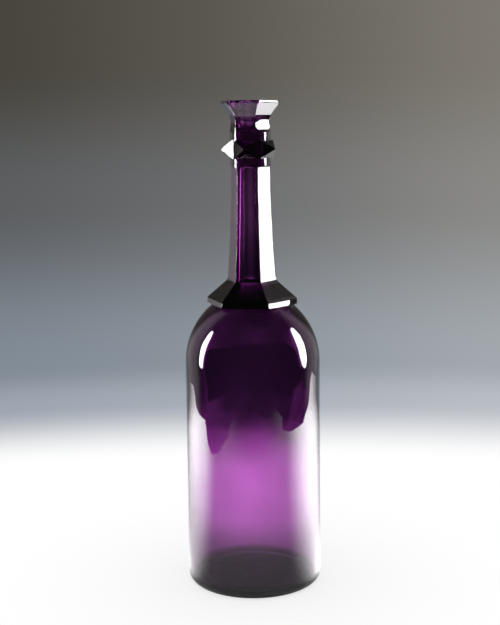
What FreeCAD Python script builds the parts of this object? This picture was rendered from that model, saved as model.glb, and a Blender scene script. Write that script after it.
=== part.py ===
# A tall amethyst glass bottle: a blown cylinder with a domed shoulder, a six-sided collar over the
# shoulder, a neck cut with six flats, a ring cut with five lozenges and a flared, fluted mouth.
# Millimetres, +Z up, origin at the middle of the base.
import FreeCAD
import Part
import Sketcher
import math
import os

# Driving dimensions. Heights inside a piece are measured from that piece's own lower seam.
SIZES = {
    # Blown body
    "body_radius": 42.0,
    "wall": 3.0,
    "side_top": 140.8,          # height at which the straight side turns into the shoulder
    "shoulder_curve": 47.1,     # radius of the shoulder's outline
    "heel_curve": 5.6,
    "rest_width": 5.0,          # flat ring that the bottle stands on
    "kick_height": 1.6,         # how far the middle of the base is pushed up
    "pontil_radius": 9.0,       # ground hollow in the middle of the base
    "pontil_depth": 0.6,
    "floor_height": 4.0,        # glass under the inner heel
    "floor_rise": 1.2,          # dome of the inner floor
    "inner_heel_curve": 4.0,
    "seam_lift": 34.6,          # from the top of the side to the seam with the collar
    # Collar
    "collar_lift": 2.1,         # from the seam to the underside of the skirt
    "collar_band": 3.6,         # upright edge of the skirt
    "collar_rise": 10.7,        # slope from the edge to the foot of the neck
    "collar_flat": 24.7,        # axis to the upright edge
    "corner_blunt": 0.3,        # rounding left at the skirt's corners by the disc it is cut from
    "throat_radius": 14.5,      # where the dome's inside turns up into the neck
    "throat_curve": 14.4,
    # Neck
    "foot_flat": 13.95,         # axis to a flat at the foot of the neck
    "cove_height": 3.2,         # flare at the foot of each flat
    "cove_flat": 13.1,          # axis to a flat where the flare ends
    "cove_curve": 7.0,
    "flat_curve": 887.0,        # slight hollow along the flats
    "flats_length": 69.7,
    "flat_bite": 1.7,           # depth of the cut at the upper end of a flat
    "flat_runout": 0.8,         # slope at the upper end of a flat
    "plain_radius": 12.3,       # round stretches below, inside and above the ring
    "plain_length": 5.5,
    "bore_radius": 8.0,
    "bore_flare": 4.0,          # height of the flare at the bottom of the bore
    "bore_spread": 1.3,         # widening of the bore over that height
    "neck_turn": 20.0,          # degrees, shared by the neck and the collar
    # Ring
    "ring_height": 10.9,
    "ring_reach": 5.4,          # how far the corners between the lozenges stand out from the neck
    "ring_edge": 0.3,           # blunt edge at those corners
    "ring_turn": 4.0,           # degrees
    # Mouth
    "mouth_height": 23.6,
    "flute_height": 10.5,       # height of the narrowest place
    "flute_bite": 1.7,          # depth of a flute there
    "flute_lean": 28.8,         # degrees from upright, the flute's straight flare to the rim
    "wheel_radius": 11.1,       # wheel that cuts the hollow of a flute
    "flare_start": 7.0,
    "rim_reach": 5.9,           # how far the rim stands out from the neck
    "funnel_spread": 6.6,       # widening of the bore up to the rim
    "funnel_start": 9.2,        # where the bore opens out
    "mouth_turn": 14.0,         # degrees
}
SIDES = 6
LOZENGES = 5
SPARE = 2.0     # how far a cut or a rough blank reaches past the finished face

doc = FreeCAD.newDocument("bottle")
sheet = doc.addObject("Spreadsheet::Sheet", "Sizes")
for row, (alias, number) in enumerate(SIZES.items(), start=1):
    sheet.set(f"A{row}", alias)
    sheet.set(f"B{row}", str(number))
    sheet.setAlias(f"B{row}", alias)
doc.recompute()


class Length:
    """A worked-out length: its value now, and the formula in sheet sizes that drives it."""

    def __init__(self, value, formula):
        self.value = value
        self.formula = formula

    def joined(self, other, sign, value):
        return Length(value, f"({self.formula} {sign} {as_length(other).formula})")

    def __add__(self, other):
        return self.joined(other, "+", self.value + as_length(other).value)

    def __sub__(self, other):
        return self.joined(other, "-", self.value - as_length(other).value)

    def __mul__(self, other):
        return self.joined(other, "*", self.value * as_length(other).value)

    def __truediv__(self, other):
        return self.joined(other, "/", self.value / as_length(other).value)

    def __neg__(self):
        return Length(-self.value, f"(0 - {self.formula})")


def as_length(number):
    return number if isinstance(number, Length) else Length(float(number), repr(float(number)))


def size(alias):
    return Length(float(sheet.get(alias)), f"Sizes.{alias}")


def root(square):
    return Length(math.sqrt(square.value), f"sqrt({square.formula})")


def sine(degrees):
    return Length(math.sin(math.radians(degrees.value)), f"sin({degrees.formula} * 1 deg)")


def cosine(degrees):
    return Length(math.cos(math.radians(degrees.value)), f"cos({degrees.formula} * 1 deg)")


def cap_curve(half_width, rise):
    """Radius of the arc that rises by rise over half_width and is level at its top."""
    return (half_width * half_width + rise * rise) / (rise * 2)


def shoulder_reach(height, offset):
    """Radius of the shoulder at a height above the straight side, offset inwards from its outside."""
    curve = size("shoulder_curve") - offset
    return size("body_radius") - size("shoulder_curve") + root(curve * curve - height * height)


def shoulder_height(radius, offset):
    """Height of the shoulder above the straight side at a radius, offset inwards from its outside."""
    curve = size("shoulder_curve") - offset
    reach = radius + size("shoulder_curve") - size("body_radius")
    return root(curve * curve - reach * reach)


def origin_feature(body, role):
    return next(item for item in body.Origin.OriginFeatures if item.Role == role)


def new_body(label, height, turn=None):
    """An empty piece whose own zero stands at the given height, turned about the axis."""
    body = doc.addObject("PartDesign::Body", label)
    body.Label = label
    if turn is not None:
        body.Placement.Rotation = FreeCAD.Rotation(FreeCAD.Vector(0, 0, 1), turn.value)
        body.setExpression(".Placement.Rotation.Angle", turn.formula)
    body.setExpression(".Placement.Base.z", height.formula)
    return body


def upright_sketch(body, name):
    """An empty sketch in the upright plane through the axis."""
    sketch = body.newObject("Sketcher::SketchObject", name)
    sketch.AttachmentSupport = [(origin_feature(body, "XZ_Plane"), "")]
    sketch.MapMode = "FlatFace"
    return sketch


def bind(sketch, where, length):
    """A dimension in a sketch that follows its formula."""
    number = sketch.addConstraint(Sketcher.Constraint(*where, length.value))
    sketch.setExpression(f"Constraints[{number}]", length.formula)


def outline(body, name, corners):
    """A closed outline in the upright plane through the axis.

    Each corner is (radius, height), with a third value where the edge to the next corner is an arc:
    its radius, positive where the arc turns left on its way round the outline, negative where it
    turns right.
    """
    sketch = upright_sketch(body, name)
    places = [FreeCAD.Vector(corner[0].value, corner[1].value, 0) for corner in corners]
    starts = []
    ends = []
    for index, corner in enumerate(corners):
        here = places[index]
        there = places[(index + 1) % len(places)]
        if len(corner) == 2:
            edge = sketch.addGeometry(Part.LineSegment(here, there), False)
            first, last = 1, 2
        else:
            edge, first, last = add_arc(sketch, here, there, corner[2])
        starts.append((edge, first))
        ends.append((edge, last))
    for index, corner in enumerate(corners):
        sketch.addConstraint(Sketcher.Constraint("Coincident", *ends[index - 1], *starts[index]))
        pin_corner(sketch, starts[index], corner[0], corner[1])
    return sketch


def add_arc(sketch, here, there, curve):
    """An arc from here to there; returns its number and which of its ends is first and last."""
    chord = there - here
    side = FreeCAD.Vector(-chord.y, chord.x, 0).normalize()
    turn = math.copysign(1, curve.value)
    depth = math.sqrt(curve.value ** 2 - (chord.Length / 2) ** 2)
    centre = here + chord * 0.5 + side * (depth * turn)
    begin, finish = (here, there) if turn > 0 else (there, here)
    angles = [math.atan2(point.y - centre.y, point.x - centre.x) for point in (begin, finish)]
    circle = Part.Circle(centre, FreeCAD.Vector(0, 0, 1), abs(curve.value))
    edge = sketch.addGeometry(Part.ArcOfCircle(circle, angles[0], angles[1]), False)
    bind(sketch, ("Radius", edge), curve if turn > 0 else -curve)
    return (edge, 1, 2) if turn > 0 else (edge, 2, 1)


def pin_corner(sketch, point, radius, height):
    """Ties a corner to its radius and height, or to the axis or seam where one of them is nothing."""
    for kind, axis, length in (("DistanceX", -2, radius), ("DistanceY", -1, height)):
        if length.formula == as_length(0).formula:
            sketch.addConstraint(Sketcher.Constraint("PointOnObject", *point, axis))
        else:
            bind(sketch, (kind, -1, 1, *point), length)


def turned(body, name, corners):
    """A solid turned about the axis from its outline."""
    solid = body.newObject("PartDesign::Revolution", name)
    sketch = outline(body, f"{name}_outline", corners)
    solid.Profile = sketch
    solid.ReferenceAxis = (sketch, ["V_Axis"])
    solid.Angle = 360
    body.Tip = solid
    doc.recompute()
    return solid


def cut_round(body, name, sketch, reach, count):
    """One straight cut across the axis from a sketch, repeated evenly round it."""
    before = body.Shape.Volume
    cut = body.newObject("PartDesign::Pocket", name)
    cut.Profile = sketch
    cut.SideType = "Symmetric"
    cut.Type = "Length"
    cut.setExpression("Length", (reach * 4).formula)
    doc.recompute()
    pattern = body.newObject("PartDesign::PolarPattern", f"{name}_round")
    pattern.Originals = [cut]
    pattern.Axis = (origin_feature(body, "Z_Axis"), [""])
    pattern.Angle = 360
    pattern.Occurrences = count
    body.Tip = pattern
    doc.recompute()
    if body.Shape.Volume >= cut.Shape.Volume or cut.Shape.Volume >= before:
        raise RuntimeError(f"{name} cuts nothing away")


ZERO = as_length(0)
FLAT_TO_CORNER = math.cos(math.pi / SIDES)
RING_FLAT_TO_CORNER = math.cos(math.pi / LOZENGES)

# Heights of the seams between the pieces
seam_top = size("side_top") + size("seam_lift")
collar_height = size("collar_lift") + size("collar_band") + size("collar_rise")
foot_top = seam_top + collar_height
ring_foot = size("flats_length") + size("plain_length")
ring_bottom = foot_top + ring_foot
ring_top = ring_bottom + size("ring_height")
foot_bore = size("bore_radius") + size("bore_spread")


def make_body():
    """The blown body: an even wall, a round heel and a base kicked up round its ground hollow."""
    body = new_body("body", ZERO)
    radius = size("body_radius")
    inside = radius - size("wall")
    rest_outer = radius - size("heel_curve")
    rest_inner = rest_outer - size("rest_width")
    kick = size("kick_height")
    hollow_top = kick + size("pontil_depth")
    floor_edge = inside - size("inner_heel_curve")
    floor_middle = size("floor_height") + size("floor_rise")
    turned(body, "blown_shell", [
        (ZERO, hollow_top, -cap_curve(size("pontil_radius"), size("pontil_depth"))),
        (size("pontil_radius"), kick, -cap_curve(rest_inner - size("pontil_radius"), kick)),
        (rest_inner, ZERO),
        (rest_outer, ZERO, size("heel_curve")),
        (radius, size("heel_curve")),
        (radius, size("side_top"), size("shoulder_curve")),
        (shoulder_reach(size("seam_lift"), ZERO), seam_top),
        (shoulder_reach(size("seam_lift"), size("wall")), seam_top, size("wall") - size("shoulder_curve")),
        (inside, size("side_top")),
        (inside, size("floor_height") + size("inner_heel_curve"), -size("inner_heel_curve")),
        (floor_edge, size("floor_height"), cap_curve(floor_edge, size("floor_rise"))),
        (ZERO, floor_middle),
    ])
    return body


def make_collar():
    """The crown of the shoulder with its six-sided skirt, hollowed by the dome and the throat."""
    body = new_body("collar", seam_top, size("neck_turn"))
    seam_lift = size("seam_lift")
    underside = size("collar_lift")
    band_top = underside + size("collar_band")
    disc = size("collar_flat") / FLAT_TO_CORNER - size("corner_blunt")
    throat_height = shoulder_height(size("throat_radius"), size("wall")) - seam_lift
    turned(body, "skirt_disc", [
        (size("throat_radius"), underside),
        (disc, underside),
        (disc, collar_height),
        (size("throat_radius"), collar_height),
    ])
    outside = disc + SPARE
    side = outline(body, "side_outline", [
        (size("collar_flat"), underside),
        (outside, underside),
        (outside, collar_height),
        (size("foot_flat"), collar_height),
        (size("collar_flat"), band_top),
    ])
    cut_round(body, "side", side, outside, SIDES)
    turned(body, "crown", [
        (shoulder_reach(seam_lift, size("wall")), ZERO),
        (shoulder_reach(seam_lift, ZERO), ZERO, size("shoulder_curve")),
        (size("throat_radius"), shoulder_height(size("throat_radius"), ZERO) - seam_lift),
        (size("throat_radius"), collar_height),
        (foot_bore, collar_height, size("throat_curve")),
        (size("throat_radius"), throat_height, size("wall") - size("shoulder_curve")),
    ])
    return body


def make_neck():
    """The neck: a bored tube with six hollow flats that flare at the foot and stop below the ring."""
    body = new_body("neck", foot_top, size("neck_turn"))
    top = ring_foot + size("ring_height")
    flare_curve = cap_curve(size("bore_flare"), size("bore_spread"))
    foot_blank = size("foot_flat") / FLAT_TO_CORNER + SPARE
    turned(body, "tube", [
        (foot_bore, ZERO),
        (foot_blank, ZERO),
        (size("plain_radius"), size("flats_length")),
        (size("plain_radius"), top),
        (size("bore_radius"), top),
        (size("bore_radius"), size("bore_flare"), flare_curve),
    ])
    flats_top = size("plain_radius") - size("flat_bite")
    runout = size("flats_length") + size("flat_runout")
    side = outline(body, "flat_outline", [
        (size("foot_flat"), ZERO),
        (foot_blank, ZERO),
        (foot_blank, runout),
        (size("plain_radius"), runout),
        (flats_top, size("flats_length"), size("flat_curve")),
        (size("cove_flat"), size("cove_height"), size("cove_curve")),
    ])
    cut_round(body, "flat", side, foot_blank, SIDES)
    return body


def make_neck_ring():
    """The ring: five upright lozenges, with a sloped triangle above and below each corner."""
    body = new_body("neck_ring", ring_bottom, size("ring_turn"))
    height = size("ring_height")
    corner = size("plain_radius") + size("ring_reach")
    blank = corner + SPARE
    lozenge_flat = corner * RING_FLAT_TO_CORNER
    edge_top = (height + size("ring_edge")) / 2
    edge_bottom = (height - size("ring_edge")) / 2
    slope_flat = lozenge_flat * RING_FLAT_TO_CORNER
    slope = (corner - slope_flat) / (height / 2)
    past_top = height + SPARE
    slope_end = corner - slope * (past_top - edge_top)
    turned(body, "ring_blank", [
        (size("plain_radius"), ZERO),
        (blank, ZERO),
        (blank, height),
        (size("plain_radius"), height),
    ])
    lozenge = outline(body, "lozenge_outline", [
        (lozenge_flat, ZERO),
        (blank, ZERO),
        (blank, height),
        (lozenge_flat, height),
    ])
    cut_round(body, "lozenge", lozenge, blank, LOZENGES)
    upper = outline(body, "upper_triangle_outline", [
        (-corner, edge_top),
        (-slope_end, past_top),
        (-blank, past_top),
        (-blank, edge_top),
    ])
    cut_round(body, "upper_triangle", upper, blank, LOZENGES)
    lower = outline(body, "lower_triangle_outline", [
        (-corner, edge_bottom),
        (-blank, edge_bottom),
        (-blank, height - past_top),
        (-slope_end, height - past_top),
    ])
    cut_round(body, "lower_triangle", lower, blank, LOZENGES)
    return body


def make_mouth():
    """The mouth: a flared tube with a ground rim, cut by six flutes with rounded lower ends."""
    body = new_body("mouth", ring_top, size("mouth_turn"))
    height = size("mouth_height")
    rim = size("plain_radius") + size("rim_reach")
    rim_bore = size("bore_radius") + size("funnel_spread")
    funnel_curve = cap_curve(height - size("funnel_start"), size("funnel_spread"))
    turned(body, "trumpet", [
        (size("bore_radius"), ZERO),
        (size("plain_radius"), ZERO),
        (size("plain_radius"), size("flare_start")),
        (rim, height),
        (rim_bore, height, funnel_curve),
        (size("bore_radius"), size("funnel_start")),
    ])
    wheel = size("wheel_radius")
    lean = size("flute_lean")
    outside = rim + SPARE
    past_rim = height + SPARE
    waist = size("plain_radius") - size("flute_bite")
    wheel_middle = waist + wheel
    exit_reach = size("flute_bite") + SPARE
    exit_drop = root(exit_reach * (wheel * 2 - exit_reach))
    flare_radius = wheel_middle - wheel * cosine(lean)
    flare_foot = size("flute_height") + wheel * sine(lean)
    flare_end = flare_radius + (past_rim - flare_foot) * sine(lean) / cosine(lean)
    flute = outline(body, "flute_outline", [
        (waist + exit_reach, size("flute_height") - exit_drop),
        (outside + SPARE, size("flute_height") - exit_drop),
        (outside + SPARE, past_rim),
        (flare_end, past_rim),
        (flare_radius, flare_foot, wheel),
    ])
    cut_round(body, "flute", flute, outside, SIDES)
    return body


pieces = [make_body(), make_collar(), make_neck(), make_neck_ring(), make_mouth()]
doc.recompute()
for item in doc.Objects:
    if "Invalid" in item.State or "Error" in item.State:
        raise RuntimeError(f"{item.Label} is {item.State}")
for piece in pieces:
    if piece.Shape.isNull() or not piece.Shape.isValid() or len(piece.Shape.Solids) != 1:
        raise RuntimeError(f"{piece.Label} is not one sound solid")

os.makedirs("parts", exist_ok=True)
for piece in pieces:
    piece.Shape.exportStep(f"parts/{piece.Label}.step")
    box = piece.Shape.optimalBoundingBox()
    print(f"{piece.Label}: {piece.Shape.Volume:.0f} mm3, z {box.ZMin:.2f} to {box.ZMax:.2f}")
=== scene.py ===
import math

import bmesh
import bpy
import numpy as np
from mathutils import Matrix, Vector, noise


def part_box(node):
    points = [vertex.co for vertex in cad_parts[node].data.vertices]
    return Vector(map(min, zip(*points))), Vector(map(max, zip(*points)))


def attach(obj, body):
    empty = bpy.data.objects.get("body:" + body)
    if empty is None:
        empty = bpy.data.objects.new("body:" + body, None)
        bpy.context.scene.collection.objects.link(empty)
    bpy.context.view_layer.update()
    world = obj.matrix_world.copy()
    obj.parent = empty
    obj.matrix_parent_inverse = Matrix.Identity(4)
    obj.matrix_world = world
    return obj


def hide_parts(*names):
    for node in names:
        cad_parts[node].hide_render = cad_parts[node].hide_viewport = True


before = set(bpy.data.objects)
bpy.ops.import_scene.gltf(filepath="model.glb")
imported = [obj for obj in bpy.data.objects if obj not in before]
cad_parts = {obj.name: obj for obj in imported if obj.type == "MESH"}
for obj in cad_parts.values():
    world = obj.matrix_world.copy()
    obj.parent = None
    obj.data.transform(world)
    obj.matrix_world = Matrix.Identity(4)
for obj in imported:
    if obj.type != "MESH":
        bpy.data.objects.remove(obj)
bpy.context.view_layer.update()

# Sizes of the glass, in millimetres
MM = 0.001
WALL = 3.0
SHOULDER_CURVE = 47.1
SIDE_TOP = 140.8
HEEL_CURVE = 5.6
REST_WIDTH = 5.0
KICK_HEIGHT = 1.6
PONTIL_RADIUS = 9.0
PONTIL_DEPTH = 0.6
FLOOR_HEIGHT = 4.0
FLOOR_RISE = 1.2
INNER_HEEL = 4.0
COLLAR_LIFT = 2.1
COLLAR_BAND = 3.6
COLLAR_FLAT = 24.7
COLLAR_BLUNT = 0.3
THROAT_RADIUS = 14.5
THROAT_CURVE = 14.4
FOOT_FLAT = 13.95
COVE_HEIGHT = 3.2
COVE_FLAT = 13.1
COVE_CURVE = 7.0
FLAT_CURVE = 887.0
FLATS_LENGTH = 69.7
FLAT_BITE = 1.7
FLAT_RUNOUT = 0.8
LEAST_RUNOUT = 0.02     # share of it that is left at the corners
PLAIN_START = 2.0
PLAIN_RADIUS = 12.3
RING_REACH = 5.4
RING_EDGE = 0.3
LOZENGE_HOLLOW = 0.5
FLUTE_HEIGHT = 10.5
FLUTE_BITE = 1.7
WHEEL_RADIUS = 11.1
WHEEL_BELOW = 0.8       # share of it below the middle of a flute where its foot is looked for
FLARE_START = 7.0
RIM_REACH = 5.9
LIP = 1.5
FUNNEL_SPREAD = 6.6
ARRIS = 0.6         # rounding of the cut edges
EDGE = 0.25         # blunting of the level edges of collar and rim

# The inside of neck and mouth, with a thinner wall than in the CAD, to be as light as in the photograph
BORE_RADIUS = 8.0
BORE_TAPER = 2.2
BORE_FLARE = 4.0
BORE_FOOT_SPREAD = 0.6
BORE_FOOT_CURVE = 14.0
FUNNEL_START = 5.0

# Numbers of cut faces, and how they are turned, in degrees
SIDES = 6
LOZENGES = 5
NECK_TURN = 20.0
RING_TURN = 4.0
MOUTH_TURN = 14.0
FLUTE_LEAN = math.radians(28.8)

# Unevenness of the glass: depth, length across and along in millimetres, and place in the noise
OUTER_RIPPLE = (0.05, 16, 9, 3.0)
INNER_RIPPLE = (0.25, 22, 30, 7.0)
WRINKLES = (0.25, 5, 3, 11.0)
RIPPLE_FADE_ROWS = 6
WRINKLE_DROP = 1.5      # below the seam, where the wrinkles are deepest
WRINKLE_WIDTH = 2.0
WRINKLE_START = 0.2

# Heights of the seams, taken from the frame
BODY_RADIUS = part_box("body")[1].x / MM
COLLAR_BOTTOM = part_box("collar")[0].z / MM
NECK_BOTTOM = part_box("neck")[0].z / MM
RING_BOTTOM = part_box("neck_ring")[0].z / MM
MOUTH_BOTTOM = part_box("mouth")[0].z / MM
RIM_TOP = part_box("mouth")[1].z / MM

# The mesh: columns round the axis, the closeness of points that are one, in metres, and sharp edges
COLUMNS = 360
TURN = np.arange(COLUMNS) * (360.0 / COLUMNS)
ONES = np.ones(COLUMNS)
SAME_PLACE = 1e-6
SHARP_ANGLE = math.radians(26)


def off_facet(turn, count):
    """Angle of each column from the middle of its facet, in radians."""
    share = 360.0 / count
    return np.radians((TURN - turn + share / 2) % share - share / 2)


def facet_radius(flat, offset, count, arris=ARRIS):
    """Radius of a regular prism with rounded arrises; flat is its axis-to-face distance."""
    half = math.pi / count
    from_corner = half - np.abs(offset)
    middle = (flat - arris) / math.cos(half)
    across = middle * np.sin(from_corner)
    rounded = middle * np.cos(from_corner) + np.sqrt(np.maximum(arris ** 2 - across ** 2, 0))
    return np.where(across < arris * math.sin(half), rounded, flat / np.cos(offset))


def arc(start, end, curve, steps):
    """Points on an arc from start to end; its middle lies left of the way, or right if curve is negative."""
    start = np.array(start, float)
    end = np.array(end, float)
    chord = end - start
    length = np.hypot(*chord)
    side = np.array([-chord[1], chord[0]]) / length
    to_middle = math.copysign(math.sqrt(curve ** 2 - (length / 2) ** 2), curve)
    middle = (start + end) / 2 + side * to_middle
    first = math.atan2(*(start - middle)[::-1])
    sweep = 2 * math.asin(length / 2 / abs(curve)) * math.copysign(1, curve)
    angles = first + sweep * np.linspace(0, 1, steps + 1)
    return [middle + abs(curve) * np.array([math.cos(a), math.sin(a)]) for a in angles]


def cap_curve(half_width, rise):
    """Radius of the arc that rises by rise over half_width and is level at its top."""
    return (half_width ** 2 + rise ** 2) / (2 * rise)


def crossing(low, high, gap):
    """For each column, the height between low and high where gap changes sign."""
    low = low * ONES
    high = high * ONES
    sign = np.sign(gap(low))
    for _ in range(40):
        middle = (low + high) / 2
        same = np.sign(gap(middle)) == sign
        low = np.where(same, middle, low)
        high = np.where(same, high, middle)
    return (low + high) / 2


def round_rows(points):
    """Rows of the mesh, each a radius and a height for every column, from points of a round outline."""
    return [(radius * ONES, height * ONES) for radius, height in points]


def ripple(height, depth, across, along, seed):
    """Uneven thickness of blown glass: a smooth swell round the axis at a height, in millimetres."""
    turn = np.radians(TURN)
    around = BODY_RADIUS / across
    places = zip(around * np.cos(turn), around * np.sin(turn))
    return depth * np.array([noise.noise((x, y, height / along + seed)) for x, y in places])


def blown_rows(points, swell):
    """Round rows with the ripple of blown glass, which dies away towards the first and last row."""
    last = len(points) - 1
    rows = []
    for index, (radius, height) in enumerate(points):
        fade = min(1.0, index / RIPPLE_FADE_ROWS, (last - index) / RIPPLE_FADE_ROWS)
        rows.append((radius + fade * ripple(height, *swell), height * ONES))
    return rows


def chill_rows(rows, seam):
    """The rows with the small wrinkles left where the hot collar was pressed on, close below the seam."""
    full_depth, across, along, seed = WRINKLES
    wrinkled = []
    for radius, height in rows:
        below = seam - height[0]
        depth = 0.0
        if below > WRINKLE_START:
            depth = full_depth * math.exp(-((below - WRINKLE_DROP) / WRINKLE_WIDTH) ** 2)
        wrinkled.append((radius + ripple(height[0], depth, across, along, seed), height))
    return wrinkled


def body_rows():
    """Outside of the blown body, from the middle of the base to the underside of the collar."""
    rest_outer = BODY_RADIUS - HEEL_CURVE
    rest_inner = rest_outer - REST_WIDTH
    underside = COLLAR_BOTTOM + COLLAR_LIFT
    shoulder = math.sqrt(SHOULDER_CURVE ** 2 - (underside - SIDE_TOP) ** 2)
    reach = BODY_RADIUS - SHOULDER_CURVE + shoulder
    points = arc((0, KICK_HEIGHT + PONTIL_DEPTH), (PONTIL_RADIUS, KICK_HEIGHT),
                 -cap_curve(PONTIL_RADIUS, PONTIL_DEPTH), 6)
    points += arc((PONTIL_RADIUS, KICK_HEIGHT), (rest_inner, 0),
                  -cap_curve(rest_inner - PONTIL_RADIUS, KICK_HEIGHT), 10)[1:]
    points += arc((rest_outer, 0), (BODY_RADIUS, HEEL_CURVE), HEEL_CURVE, 10)
    side = [np.array([BODY_RADIUS, h]) for h in np.linspace(HEEL_CURVE, SIDE_TOP, 67)[1:]]
    side += arc((BODY_RADIUS, SIDE_TOP), (reach, underside), SHOULDER_CURVE, 54)[1:]
    return round_rows(points) + chill_rows(blown_rows(side, OUTER_RIPPLE), underside)


def collar_rows():
    """The six-sided skirt and its slopes up to the foot of the neck."""
    offset = off_facet(NECK_TURN, SIDES)
    underside = COLLAR_BOTTOM + COLLAR_LIFT
    band_top = underside + COLLAR_BAND
    disc = COLLAR_FLAT / math.cos(math.pi / SIDES) - COLLAR_BLUNT
    lean = (COLLAR_FLAT - FOOT_FLAT) / (NECK_BOTTOM - band_top)
    outline = [(COLLAR_FLAT - EDGE, underside), (COLLAR_FLAT, underside + EDGE),
               (COLLAR_FLAT, band_top - EDGE), (COLLAR_FLAT - EDGE * lean, band_top + EDGE)]
    slope = np.linspace(band_top + EDGE, NECK_BOTTOM, 9)[1:]
    outline += [(COLLAR_FLAT - (h - band_top) * lean, h) for h in slope]
    return [(np.minimum(facet_radius(flat, offset, SIDES), disc), h * ONES) for flat, h in outline]


def neck_rows():
    """Six hollow flats that flare at the foot and run out below the ring."""
    offset = off_facet(NECK_TURN, SIDES)
    flats_top = PLAIN_RADIUS - FLAT_BITE
    flats_end = NECK_BOTTOM + FLATS_LENGTH
    outline = arc((FOOT_FLAT, 0), (COVE_FLAT, COVE_HEIGHT), -COVE_CURVE, 8)[1:]
    outline += arc((COVE_FLAT, COVE_HEIGHT), (flats_top, FLATS_LENGTH), -FLAT_CURVE, 34)[1:]
    rows = [(facet_radius(flat, offset, SIDES), (NECK_BOTTOM + h) * ONES) for flat, h in outline]
    rise = (PLAIN_RADIUS * np.cos(offset) - flats_top) / FLAT_BITE
    rows.append((PLAIN_RADIUS * ONES, flats_end + FLAT_RUNOUT * np.maximum(rise, LEAST_RUNOUT)))
    rows += round_rows((PLAIN_RADIUS, h) for h in np.linspace(flats_end + PLAIN_START, RING_BOTTOM, 4))
    return rows


def ring_rows():
    """Five upright lozenges with a sloped triangle above and below each corner between them."""
    height = MOUTH_BOTTOM - RING_BOTTOM
    corner = PLAIN_RADIUS + RING_REACH
    flat_share = math.cos(math.pi / LOZENGES)
    flat = corner * flat_share
    slope = (corner - flat * flat_share) / (height / 2)
    edge_top = (height + RING_EDGE) / 2
    on_lozenge = off_facet(RING_TURN, LOZENGES)
    on_corner = off_facet(RING_TURN + 180.0 / LOZENGES, LOZENGES)
    along = np.tan(on_lozenge) / math.tan(math.pi / LOZENGES)
    lozenge = (flat - LOZENGE_HOLLOW * (1 - along ** 2)) / np.cos(on_lozenge)
    top = np.minimum(height, edge_top + (corner - PLAIN_RADIUS * np.cos(on_corner)) / slope)
    top_radius = (corner - slope * (top - edge_top)) / np.cos(on_corner)
    top_radius = np.maximum(np.minimum(top_radius, lozenge), PLAIN_RADIUS)
    edge = np.minimum(top, edge_top + (corner - lozenge * np.cos(on_corner)) / slope)
    upper = [(lozenge, edge), (top_radius, top), (PLAIN_RADIUS * ONES, height * ONES)]
    lower = [(radius, height - h) for radius, h in reversed(upper)]
    return [(radius, RING_BOTTOM + h) for radius, h in lower[1:] + upper]


def mouth_rows():
    """The fluted trumpet of the mouth, from the ring up to its ground rim."""
    height = RIM_TOP - MOUTH_BOTTOM
    offset = off_facet(MOUTH_TURN, SIDES)
    wheel_middle = PLAIN_RADIUS - FLUTE_BITE + WHEEL_RADIUS
    flare_foot = FLUTE_HEIGHT + WHEEL_RADIUS * math.sin(FLUTE_LEAN)
    flare_radius = wheel_middle - WHEEL_RADIUS * math.cos(FLUTE_LEAN)
    stretch = (height - flare_foot) / (height - LIP - flare_foot)

    def lifted(h):
        above = np.minimum(h, height - LIP) - flare_foot
        return np.where(above > 0, flare_foot + above * stretch, h)

    def flute(h):
        h = lifted(h)
        drop = np.minimum(np.abs(h - FLUTE_HEIGHT), WHEEL_RADIUS)
        wheel = wheel_middle - np.sqrt(WHEEL_RADIUS ** 2 - drop ** 2)
        return np.where(h > flare_foot, flare_radius + (h - flare_foot) * math.tan(FLUTE_LEAN), wheel)

    def trumpet(h):
        h = lifted(h)
        return PLAIN_RADIUS + RIM_REACH * np.maximum(h - FLARE_START, 0) / (height - FLARE_START)

    def gap(h):
        return flute(h) / np.cos(offset) - trumpet(h)

    start = crossing(FLUTE_HEIGHT - WHEEL_RADIUS * WHEEL_BELOW, FLUTE_HEIGHT, gap)
    end = np.where(gap(height * ONES) > 0, crossing(flare_foot, height, gap), height)
    rows = [(trumpet(start * share), start * share) for share in (0.35, 0.7)]
    for share in np.linspace(0, 1, 45):
        h = start + (end - start) * share
        rows.append((np.minimum(facet_radius(flute(h), offset, SIDES), trumpet(h)), h))
    rim = np.minimum(facet_radius(flute(height * ONES), offset, SIDES), trumpet(height))
    rows.append((rim - EDGE / 2, (height - EDGE / 2) * ONES))
    rows.append((rim - EDGE, height * ONES))
    return [(radius, MOUTH_BOTTOM + h) for radius, h in rows]


def bore_points():
    """Outline of the way in, from the rim down the funnel and the widening bore to the collar."""
    mouth = RIM_TOP - MOUTH_BOTTOM
    rim_bore = BORE_RADIUS + FUNNEL_SPREAD
    funnel_top = MOUTH_BOTTOM + FUNNEL_START
    bore_foot = NECK_BOTTOM + BORE_FLARE
    wide_bore = BORE_RADIUS + BORE_TAPER
    points = [(rim_bore + EDGE, RIM_TOP)]
    points += arc((rim_bore, RIM_TOP - EDGE), (BORE_RADIUS, funnel_top),
                  cap_curve(mouth - FUNNEL_START, FUNNEL_SPREAD), 20)
    points += [(BORE_RADIUS, h) for h in np.linspace(funnel_top, RING_BOTTOM, 4)[1:]]
    points += [(BORE_RADIUS + BORE_TAPER * share, RING_BOTTOM + (bore_foot - RING_BOTTOM) * share)
               for share in np.linspace(0, 1, 13)[1:]]
    points += arc((wide_bore, bore_foot), (wide_bore + BORE_FOOT_SPREAD, NECK_BOTTOM), BORE_FOOT_CURVE, 5)[1:]
    return points


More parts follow.
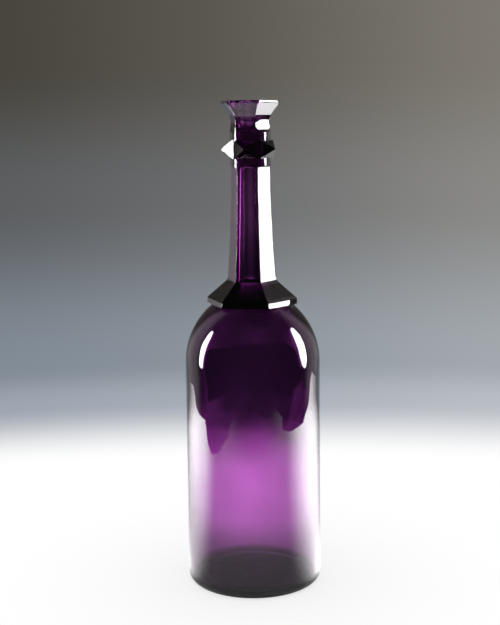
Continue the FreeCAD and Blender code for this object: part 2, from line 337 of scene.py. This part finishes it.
def inside_rows():
    """The inside, from the rim down the bore and the wall to the middle of the floor."""
    curve = SHOULDER_CURVE - WALL
    inside = BODY_RADIUS - WALL
    throat = SIDE_TOP + math.sqrt(curve ** 2 - (THROAT_RADIUS + SHOULDER_CURVE - BODY_RADIUS) ** 2)
    wall_foot = FLOOR_HEIGHT + INNER_HEEL
    floor_edge = inside - INNER_HEEL
    points = bore_points()
    points += arc(points[-1], (THROAT_RADIUS, throat), THROAT_CURVE, 8)[1:]
    wall = arc((THROAT_RADIUS, throat), (inside, SIDE_TOP), -curve, 24)[1:]
    wall += [(inside, h) for h in np.linspace(SIDE_TOP, wall_foot, 47)[1:]]
    base = arc((inside, wall_foot), (floor_edge, FLOOR_HEIGHT), -INNER_HEEL, 10)[1:]
    base += arc((floor_edge, FLOOR_HEIGHT), (0, FLOOR_HEIGHT + FLOOR_RISE),
                cap_curve(floor_edge, FLOOR_RISE), 14)[1:]
    return round_rows(points) + blown_rows(wall, INNER_RIPPLE) + round_rows(base)


def every_other(rows):
    """The rows with half their columns, enough for the round parts."""
    return [(radius[::2], height[::2]) for radius, height in rows]


def join_rings(mesh, below, above):
    """Faces between two rings, where one may be a single point or have twice as many columns."""
    count = min(len(ring) for ring in (below, above) if len(ring) > 1)
    for column in range(count):
        following = (column + 1) % count
        if len(below) == 1:
            mesh.faces.new((below[0], above[following], above[column]))
        elif len(above) == 1:
            mesh.faces.new((below[column], below[following], above[0]))
        elif len(below) == len(above):
            mesh.faces.new((below[column], below[following], above[following], above[column]))
        elif len(below) < len(above):
            first, middle, last = (above[(2 * column + step) % len(above)] for step in range(3))
            mesh.faces.new((below[column], middle, first))
            mesh.faces.new((below[column], below[following], middle))
            mesh.faces.new((below[following], last, middle))
        else:
            first, middle, last = (below[(2 * column + step) % len(below)] for step in range(3))
            mesh.faces.new((first, middle, above[column]))
            mesh.faces.new((middle, above[following], above[column]))
            mesh.faces.new((middle, last, above[following]))


def add_ring(mesh, radius, height):
    """The points of one row, which are a single point on the axis where its radius is nothing."""
    if radius.max() < SAME_PLACE:
        return [mesh.verts.new((0, 0, height[0] * MM))]
    turn = np.linspace(0, 2 * math.pi, len(radius), endpoint=False)
    places = zip(radius * np.cos(turn) * MM, radius * np.sin(turn) * MM, height * MM)
    return [mesh.verts.new(place) for place in places]


def glass_mesh():
    """One unbroken skin, outside and inside, so that light passes the seams as in the real bottle."""
    inside = inside_rows()
    rows = every_other(body_rows()) + collar_rows() + neck_rows() + ring_rows() + mouth_rows()
    rows += inside[:1] + every_other(inside[1:])
    mesh = bmesh.new()
    rings = [add_ring(mesh, radius, height) for radius, height in rows]
    for below, above in zip(rings, rings[1:]):
        join_rings(mesh, below, above)
    bmesh.ops.remove_doubles(mesh, verts=mesh.verts, dist=SAME_PLACE)
    bmesh.ops.dissolve_degenerate(mesh, dist=SAME_PLACE, edges=mesh.edges)
    bmesh.ops.recalc_face_normals(mesh, faces=mesh.faces)
    data = bpy.data.meshes.new("bottle_glass")
    mesh.to_mesh(data)
    mesh.free()
    data.polygons.foreach_set("use_smooth", [True] * len(data.polygons))
    data.set_sharp_from_angle(angle=SHARP_ANGLE)
    return data


def srgb(red, green, blue):
    """A colour given in screen values from 0 to 255, as shaders take it."""
    return tuple((v / 255 / 12.92 if v <= 10 else ((v / 255 + 0.055) / 1.055) ** 2.4)
                 for v in (red, green, blue)) + (1.0,)


class Shading:
    """A cleared node tree, with short ways to add nodes to it and join them."""

    def __init__(self, tree):
        self.nodes = tree.nodes
        self.links = tree.links
        self.nodes.clear()

    def fill(self, node, inputs):
        """Give a node's inputs, by name or number, constants or the outputs of other nodes."""
        for name, value in inputs.items():
            if isinstance(value, bpy.types.NodeSocket):
                self.links.new(value, node.inputs[name])
            else:
                node.inputs[name].default_value = value
        return node

    def add(self, kind, inputs):
        return self.fill(self.nodes.new(kind), inputs)

    def outputs(self, kind):
        """The outputs of a new node that needs no inputs."""
        return self.nodes.new(kind).outputs

    def maths(self, operation, first, second):
        node = self.nodes.new("ShaderNodeMath")
        node.operation = operation
        return self.fill(node, {0: first, 1: second}).outputs[0]

    def product(self, first, *others):
        for other in others:
            first = self.maths("MULTIPLY", first, other)
        return first

    def total(self, first, *others):
        for other in others:
            first = self.maths("ADD", first, other)
        return first

    def vector(self, operation, *vectors):
        """A sum on vectors: lengths and distances come out as a number, the rest as a vector."""
        node = self.nodes.new("ShaderNodeVectorMath")
        node.operation = operation
        self.fill(node, dict(enumerate(vectors)))
        return node.outputs["Value" if operation in ("LENGTH", "DISTANCE") else "Vector"]

    def smooth(self, value, start, end, low=0.0, high=1.0):
        """A smooth change from low at start to high at end."""
        node = self.nodes.new("ShaderNodeMapRange")
        node.interpolation_type = "SMOOTHSTEP"
        self.fill(node, {"Value": value, "From Min": start, "From Max": end, "To Min": low, "To Max": high})
        return node.outputs["Result"]

    def colour(self, share, first, second, blend="MIX"):
        """A mix of two colours by a share from 0 to 1."""
        node = self.nodes.new("ShaderNodeMix")
        node.data_type = "RGBA"
        node.blend_type = blend
        return self.fill(node, {"Factor": share, 6: first, 7: second}).outputs[2]

    def shader(self, share, first, second):
        """A mix of two shaders by a share from 0 to 1."""
        return self.add("ShaderNodeMixShader", {"Fac": share, 1: first, 2: second}).outputs[0]


def new_material(name):
    material = bpy.data.materials.new(name)
    material.use_nodes = True
    return material, Shading(material.node_tree)


# The glass: the colour it lets through, how deep that is, and the wear of its underside, in metres
GLASS_COLOUR = (0.417, 0.030, 0.432, 1)
GLASS_DENSITY = 760.0
GLASS_IOR = 1.5
SWELL_SCALE = (40, 40, 14)
SWELL_DISTANCE = 0.001
SWELL_STRENGTH = 0.25
FOOT_WEAR = 0.32
FOOT_WEAR_TOP = 0.0009
FOOT_WEAR_FULL = 0.0001
PONTIL_WEAR = 0.4
PONTIL_BLUR = 0.0004
UNDERSIDE_TOP = 0.0030
UNDERSIDE_BLUR = 0.0002


def worn_underside(shading, place):
    """Roughness of the ring that the bottle stands on and of the ground pontil hollow."""
    split = shading.add("ShaderNodeSeparateXYZ", {0: place})
    height = split.outputs["Z"]
    foot = shading.smooth(height, FOOT_WEAR_TOP, FOOT_WEAR_FULL, 0.0, FOOT_WEAR)
    from_axis = shading.vector("LENGTH", shading.vector("MULTIPLY", place, (1, 1, 0)))
    edge = PONTIL_RADIUS * MM
    hollow = shading.smooth(from_axis, edge + PONTIL_BLUR, edge - PONTIL_BLUR, 0.0, PONTIL_WEAR)
    under = shading.smooth(height, UNDERSIDE_TOP + UNDERSIDE_BLUR, UNDERSIDE_TOP - UNDERSIDE_BLUR)
    return shading.maths("MAXIMUM", foot, shading.product(hollow, under))


def blown_surface(shading, place):
    """The slight swell of the surface, as a bump."""
    stretch = shading.add("ShaderNodeMapping", {"Vector": place, "Scale": SWELL_SCALE})
    swell = shading.add("ShaderNodeTexNoise", {
        "Vector": stretch.outputs["Vector"],
        "Scale": 1.0,
        "Detail": 2.0,
    })
    bump = shading.add("ShaderNodeBump", {
        "Height": swell.outputs["Fac"],
        "Strength": SWELL_STRENGTH,
        "Distance": SWELL_DISTANCE,
    })
    return bump.outputs["Normal"]


def amethyst_glass():
    """Deep amethyst glass: clear at the surface, coloured by its thickness, uneven as blown glass is."""
    material, shading = new_material("amethyst_glass")
    place = shading.outputs("ShaderNodeTexCoord")["Object"]
    glass = shading.add("ShaderNodeBsdfPrincipled", {
        "Base Color": (1, 1, 1, 1),
        "Transmission Weight": 1.0,
        "IOR": GLASS_IOR,
        "Roughness": worn_underside(shading, place),
        "Normal": blown_surface(shading, place),
    })
    depth = shading.add("ShaderNodeVolumeAbsorption", {"Color": GLASS_COLOUR, "Density": GLASS_DENSITY})
    shading.add("ShaderNodeOutputMaterial", {
        "Surface": glass.outputs["BSDF"],
        "Volume": depth.outputs["Volume"],
    })
    return material


def make_bottle():
    bottle = bpy.data.objects.new("bottle_glass", glass_mesh())
    bpy.context.scene.collection.objects.link(bottle)
    bottle.data.materials.append(amethyst_glass())
    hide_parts("body", "collar", "neck", "neck_ring", "mouth")
    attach(bottle, "root")


# The camera of the photograph, in metres, degrees and millimetres of film
CAMERA_PLACE = (0, -0.72725, 0.28693)
CAMERA_TURN = 0.1035
CAMERA_DOWN = 9.003
CAMERA_ROLL = -0.651
LENS = 85.2
FILM_WIDTH = 36


def make_camera():
    """The camera's place and tilt, with the slight roll of the picture."""
    lens = bpy.data.cameras.new("camera")
    lens.sensor_fit = "HORIZONTAL"
    lens.sensor_width = FILM_WIDTH
    lens.lens = LENS
    camera = bpy.data.objects.new("camera", lens)
    bpy.context.scene.collection.objects.link(camera)
    turn = Matrix.Rotation(math.radians(CAMERA_TURN), 4, "Z")
    tilt = Matrix.Rotation(math.radians(90 - CAMERA_DOWN), 4, "X")
    roll = Matrix.Rotation(math.radians(CAMERA_ROLL), 4, "Z")
    camera.matrix_world = Matrix.Translation(CAMERA_PLACE) @ turn @ tilt @ roll
    bpy.context.scene.camera = camera


# The backdrop: its screen colours at heights, where a height is the Z of the direction of sight
BACKDROP = [(-0.275, (255, 255, 255)), (-0.228, (168, 174, 184)), (-0.196, (142, 150, 159)),
            (-0.06, (110, 111, 112)), (0.05, (94, 91, 85))]
BACKDROP_LOW = -0.30
BACKDROP_HIGH = 0.10
NEAR_WHITE = (0.95, 0.95, 0.95, 1)
BLACK = (0, 0, 0, 1)

# The room that the glass mirrors, and how far back in Y its walls and the backdrop start and are full
ROOM_DARK = (0.03, 0.03, 0.03, 1)
ROOM_WALLS = (0.68, 0.61, 0.66, 1)
WALLS_FROM = (0.10, 0.40)
MIRRORED_FROM = (0.79, 0.93)
RISING_SHARE = 0.6
FALLING_FROM = -0.1

# Changes to the backdrop: the Z or X of sight where each starts and is full, and how strong it is
NECK_SIGHT = (-0.125, -0.08)
NECK_LIGHTER = 0.2
SHOULDER_SIGHT = (-0.26, -0.22)
SHOULDER_END = (-0.11, -0.15)
SHOULDER_DIMMER = 0.4
WALL_SIGHT = (-0.27, -0.23)
LEFT_SIGHT = (0.05, -0.25)
LEFT_DARKER = 0.05
LEFT_TINT = (1, 0.95, 0.9, 1)
RIGHT_SIGHT = (-0.05, 0.25)
RIGHT_LIGHTER = 0.10
RIGHT_TINT = (1, 0.93, 0.8, 1)


def graded_backdrop(shading, z):
    """White below and grey above."""
    scale = shading.add("ShaderNodeMapRange", {
        "Value": z,
        "From Min": BACKDROP_LOW,
        "From Max": BACKDROP_HIGH,
    })
    ramp = shading.add("ShaderNodeValToRGB", {"Fac": scale.outputs["Result"]})
    ramp.color_ramp.interpolation = "EASE"
    elements = ramp.color_ramp.elements
    while len(elements) < len(BACKDROP):
        elements.new(0.5)
    for element, (height, colour) in zip(elements, BACKDROP):
        element.position = (height - BACKDROP_LOW) / (BACKDROP_HIGH - BACKDROP_LOW)
        element.color = srgb(*colour)
    return ramp.outputs["Color"]


def mirrored_room(shading, y, z, backdrop):
    """What the glass mirrors: a room dark in front and pale further back, the backdrop straight behind."""
    walls = shading.colour(shading.smooth(y, *WALLS_FROM), ROOM_DARK, ROOM_WALLS)
    rising = shading.product(shading.maths("MAXIMUM", z, 0.0), RISING_SHARE)
    falling = shading.maths("MAXIMUM", shading.maths("SUBTRACT", FALLING_FROM, z), 0.0)
    leaning = shading.total(y, shading.total(rising, falling))
    return shading.colour(shading.smooth(leaning, *MIRRORED_FROM), walls, backdrop)


def through_glass(shading, z, passing, colour):
    """The backdrop for rays out of the glass: lighter behind the neck and dimmer behind the shoulder."""
    lighter = shading.product(passing, shading.smooth(z, *NECK_SIGHT, 0.0, NECK_LIGHTER))
    colour = shading.colour(lighter, colour, NEAR_WHITE)
    above = shading.smooth(z, *SHOULDER_SIGHT, 0.0, SHOULDER_DIMMER)
    shoulder = shading.product(above, shading.smooth(z, *SHOULDER_END))
    return shading.colour(shading.product(passing, shoulder), colour, BLACK)


def graded_sideways(shading, x, z, seen, colour):
    """The backdrop as the camera sees it: darker to the left and lighter to the right."""
    wall = shading.product(shading.smooth(z, *WALL_SIGHT), seen)
    darker = shading.product(wall, shading.smooth(x, *LEFT_SIGHT, 0.0, LEFT_DARKER))
    lighter = shading.product(wall, shading.smooth(x, *RIGHT_SIGHT, 0.0, RIGHT_LIGHTER))
    colour = shading.colour(darker, colour, LEFT_TINT, "SUBTRACT")
    return shading.colour(lighter, colour, RIGHT_TINT, "ADD")


def make_world():
    """A graded backdrop for the camera and the glass, and even light of strength 1 for all else."""
    world = bpy.data.worlds.new("studio")
    bpy.context.scene.world = world
    world.use_nodes = True
    shading = Shading(world.node_tree)
    sight = shading.outputs("ShaderNodeTexCoord")["Generated"]
    x, y, z = shading.add("ShaderNodeSeparateXYZ", {0: sight}).outputs
    ray = shading.outputs("ShaderNodeLightPath")
    backdrop = graded_backdrop(shading, z)
    colour = shading.colour(ray["Is Glossy Ray"], backdrop, mirrored_room(shading, y, z, backdrop))
    colour = through_glass(shading, z, ray["Is Transmission Ray"], colour)
    colour = graded_sideways(shading, x, z, ray["Is Camera Ray"], colour)
    shown = shading.add("ShaderNodeBackground", {"Color": colour})
    even = shading.add("ShaderNodeBackground", {"Color": (1, 1, 1, 1), "Strength": 1.0})
    seen = shading.maths("MAXIMUM", ray["Is Camera Ray"], ray["Is Glossy Ray"])
    seen = shading.maths("MAXIMUM", seen, ray["Is Transmission Ray"])
    surface = shading.shader(seen, even.outputs[0], shown.outputs[0])
    shading.add("ShaderNodeOutputWorld", {"Surface": surface})


# The floor, in metres: distances from the axis where a change starts and is full
FLOOR_RADIUS = 0.235
FLOOR_LEVEL = -0.0002
FLOOR_COLOUR = (0.92, 0.92, 0.92, 1)
FLOOR_WHITE = (0.10, 0.24)
FLOOR_BRIGHT = (0.04, 0.20)
FLOOR_BRIGHT_SHARE = 0.75
FLOOR_FADE = (0.13, 0.232)

# The light panel that lies on the floor, in metres
PANEL_LEVEL = -0.0001
PANEL_OUTLINE = [(-0.26, -0.46), (0.30, -0.46), (0.44, -0.10), (0.46, 0.0), (0.51, 0.16), (0.575, 0.21),
                 (0.60, 0.32), (0.40, 0.50), (-0.40, 0.50), (-0.525, 0.31), (-0.50, 0.205), (-0.468, -0.02),
                 (-0.39, -0.07), (-0.33, -0.11)]


def stage_object(name, data, material):
    stage = bpy.data.objects.new(name, data)
    bpy.context.scene.collection.objects.link(stage)
    data.materials.append(material)
    return stage


def pale_floor():
    """Pale and matt, whiter outwards and for the camera, for which its edge fades into the backdrop."""
    material, shading = new_material("pale_floor")
    ray = shading.outputs("ShaderNodeLightPath")
    from_axis = shading.vector("LENGTH", shading.outputs("ShaderNodeTexCoord")["Object"])
    matt = shading.add("ShaderNodeBsdfDiffuse", {"Color": FLOOR_COLOUR}).outputs[0]
    glow = shading.add("ShaderNodeEmission", {"Strength": 1.0}).outputs[0]
    bright = shading.smooth(from_axis, *FLOOR_BRIGHT, FLOOR_BRIGHT_SHARE, 1.0)
    bright = shading.product(bright, ray["Is Camera Ray"])
    white = shading.maths("MAXIMUM", shading.smooth(from_axis, *FLOOR_WHITE), bright)
    edge = shading.product(shading.smooth(from_axis, *FLOOR_FADE), ray["Is Camera Ray"])
    beyond = shading.outputs("ShaderNodeBsdfTransparent")[0]
    surface = shading.shader(edge, shading.shader(white, matt, glow), beyond)
    shading.add("ShaderNodeOutputMaterial", {"Surface": surface})
    return material


def make_floor():
    """A round floor that takes the shadow of the bottle."""
    data = bpy.data.meshes.new("floor")
    mesh = bmesh.new()
    bmesh.ops.create_circle(mesh, cap_ends=True, segments=128, radius=FLOOR_RADIUS)
    bmesh.ops.translate(mesh, verts=mesh.verts, vec=(0, 0, FLOOR_LEVEL))
    mesh.to_mesh(data)
    mesh.free()
    stage_object("floor", data, pale_floor())


# Glow of the panel beside the bottle: strength; bearings from straight behind, to the right, in degrees,
# # where it starts, is full, is still full and ends; its share close to the bottle, where its shadow is
# painted; how far out it is full
SIDE_GLOWS = [(12.5, (28, 84, 82, 132), 0.35, 0.30), (11.0, (-28, -82, -86, -118), 0.15, 0.42)]
SIDE_GLOW_START = 0.04
SIDE_GLOW_FAR = (0.38, 0.58)
SIDE_GLOW_SHIFT = 0.25      # radians by which the far part of the glow starts later

# Pools of light behind and in front of the bottle, seen only through the glass
POOL_STRENGTH = 6.0
POOL_PLACE = (0, 0.19, 0)
POOL_FADE = (0.02, 0.24)
# Close to the bottle the pools are weaker: a painted shadow of the bottle
POOL_PAINTED_SHADE = (0.05, 0.12)
POOL_PAINTED_SHADE_SHARE = 0.55

# White in front of the bottle: where it starts from the camera and ends beside the bottle, and its veil
FRONT_START = (-0.46, -0.24)
FRONT_END = (0.06, -0.06)
VEIL_START = (0.09, 0.18)
VEIL_STRENGTH = 0.45
FLOOR_STEP = 0.0005
# No glow round the foot, out to where this ends: a painted shadow of the bottle
PAINTED_FOOT_SHADOW = (0.042, 0.056)


def side_glow(shading, bearing, from_axis):
    """Light beside the bottle, seen in and through its sides."""
    glows = []
    for strength, bearings, painted_shade_share, full_reach in SIDE_GLOWS:
        back, full_back, full_front, front = (math.radians(angle) for angle in bearings)
        shift = math.copysign(SIDE_GLOW_SHIFT, back)
        later = shading.smooth(from_axis, *SIDE_GLOW_FAR, 0.0, shift)
        rise = shading.smooth(shading.maths("SUBTRACT", bearing, later), back, full_back)
        fall = shading.smooth(bearing, front, full_front)
        # Painted shadow of the bottle: the glow is weaker close to it
        reach = shading.smooth(from_axis, SIDE_GLOW_START, full_reach, strength * painted_shade_share, strength)
        glows.append(shading.product(rise, fall, reach))
    return shading.total(*glows)


def pool_glow(shading, place, from_axis):
    """The brightly lit table behind and in front, with a painted shadow that makes it weaker close to the
    bottle.
    """
    passing = shading.outputs("ShaderNodeLightPath")["Is Transmission Ray"]
    from_pool = shading.vector("DISTANCE", shading.vector("ABSOLUTE", place), POOL_PLACE)
    pool = shading.smooth(from_pool, *POOL_FADE, POOL_STRENGTH, 0.0)
    # Painted shadow of the bottle: the pool is weaker close to it
    past_painted_shade = shading.smooth(from_axis, *POOL_PAINTED_SHADE, POOL_PAINTED_SHADE_SHARE, 1.0)
    return shading.product(pool, passing, past_painted_shade)


def front_glow(shading, y, from_axis):
    """White in front of the bottle: a veil, and past the edge of the floor the white that ends there."""
    near = shading.smooth(y, *FRONT_START)
    before = shading.smooth(y, *FRONT_END)
    past_floor = shading.smooth(from_axis, FLOOR_RADIUS - FLOOR_STEP, FLOOR_RADIUS + FLOOR_STEP)
    veil = shading.smooth(from_axis, *VEIL_START, 0.0, VEIL_STRENGTH)
    return shading.product(near, shading.product(shading.total(past_floor, veil), before))


def panel_light():
    """Clear, with a glow that is added to what lies behind, and none close round the foot, where the bottle's
    shadow is painted.
    """
    material, shading = new_material("light_table")
    place = shading.outputs("ShaderNodeTexCoord")["Object"]
    x, y, _ = shading.add("ShaderNodeSeparateXYZ", {0: place}).outputs
    from_axis = shading.vector("LENGTH", place)
    sides = side_glow(shading, shading.maths("ARCTAN2", x, y), from_axis)
    level = shading.total(sides, pool_glow(shading, place, from_axis), front_glow(shading, y, from_axis))
    # Painted shadow of the bottle: no glow close round its foot
    past_painted_foot_shadow = shading.smooth(from_axis, *PAINTED_FOOT_SHADOW)
    glow = shading.add("ShaderNodeEmission", {"Strength": shading.product(level, past_painted_foot_shadow)})
    beyond = shading.outputs("ShaderNodeBsdfTransparent")[0]
    both = shading.add("ShaderNodeAddShader", {0: glow.outputs[0], 1: beyond})
    shading.add("ShaderNodeOutputMaterial", {"Surface": both.outputs[0]})
    return material


def make_light_table():
    """A low light panel round the bottle, seen only in and through the glass."""
    data = bpy.data.meshes.new("light_table")
    data.from_pydata([(x, y, PANEL_LEVEL) for x, y in PANEL_OUTLINE], [], [range(len(PANEL_OUTLINE))])
    table = stage_object("light_table", data, panel_light())
    table.visible_camera = False
    table.visible_diffuse = False
    table.visible_shadow = False


def softbox(name, azimuth, distance, height, size, radiance):
    """A lamp that faces the bottle, seen only in and through the glass; azimuth is to the camera's right."""
    lamp = bpy.data.lights.new(name, "AREA")
    lamp.shape = "ELLIPSE"
    lamp.size, lamp.size_y = size
    lamp.energy = radiance * math.pi * size[0] * size[1]
    light = bpy.data.objects.new(name, lamp)
    turn = math.radians(azimuth)
    light.location = (distance * math.sin(turn), -distance * math.cos(turn), height)
    facing = Vector((0, 0, height)) - light.location
    light.rotation_euler = facing.to_track_quat("-Z", "Y").to_euler()
    light.visible_camera = False
    light.visible_diffuse = False
    bpy.context.scene.collection.objects.link(light)


make_bottle()
make_camera()
make_world()
make_floor()
make_light_table()
softbox("right_softbox", azimuth=96, distance=1.0, height=0.41, size=(0.33, 0.88), radiance=18)
softbox("left_softbox", azimuth=-95, distance=1.0, height=0.38, size=(0.22, 0.80), radiance=22)
bpy.context.scene.view_settings.view_transform = "Standard"
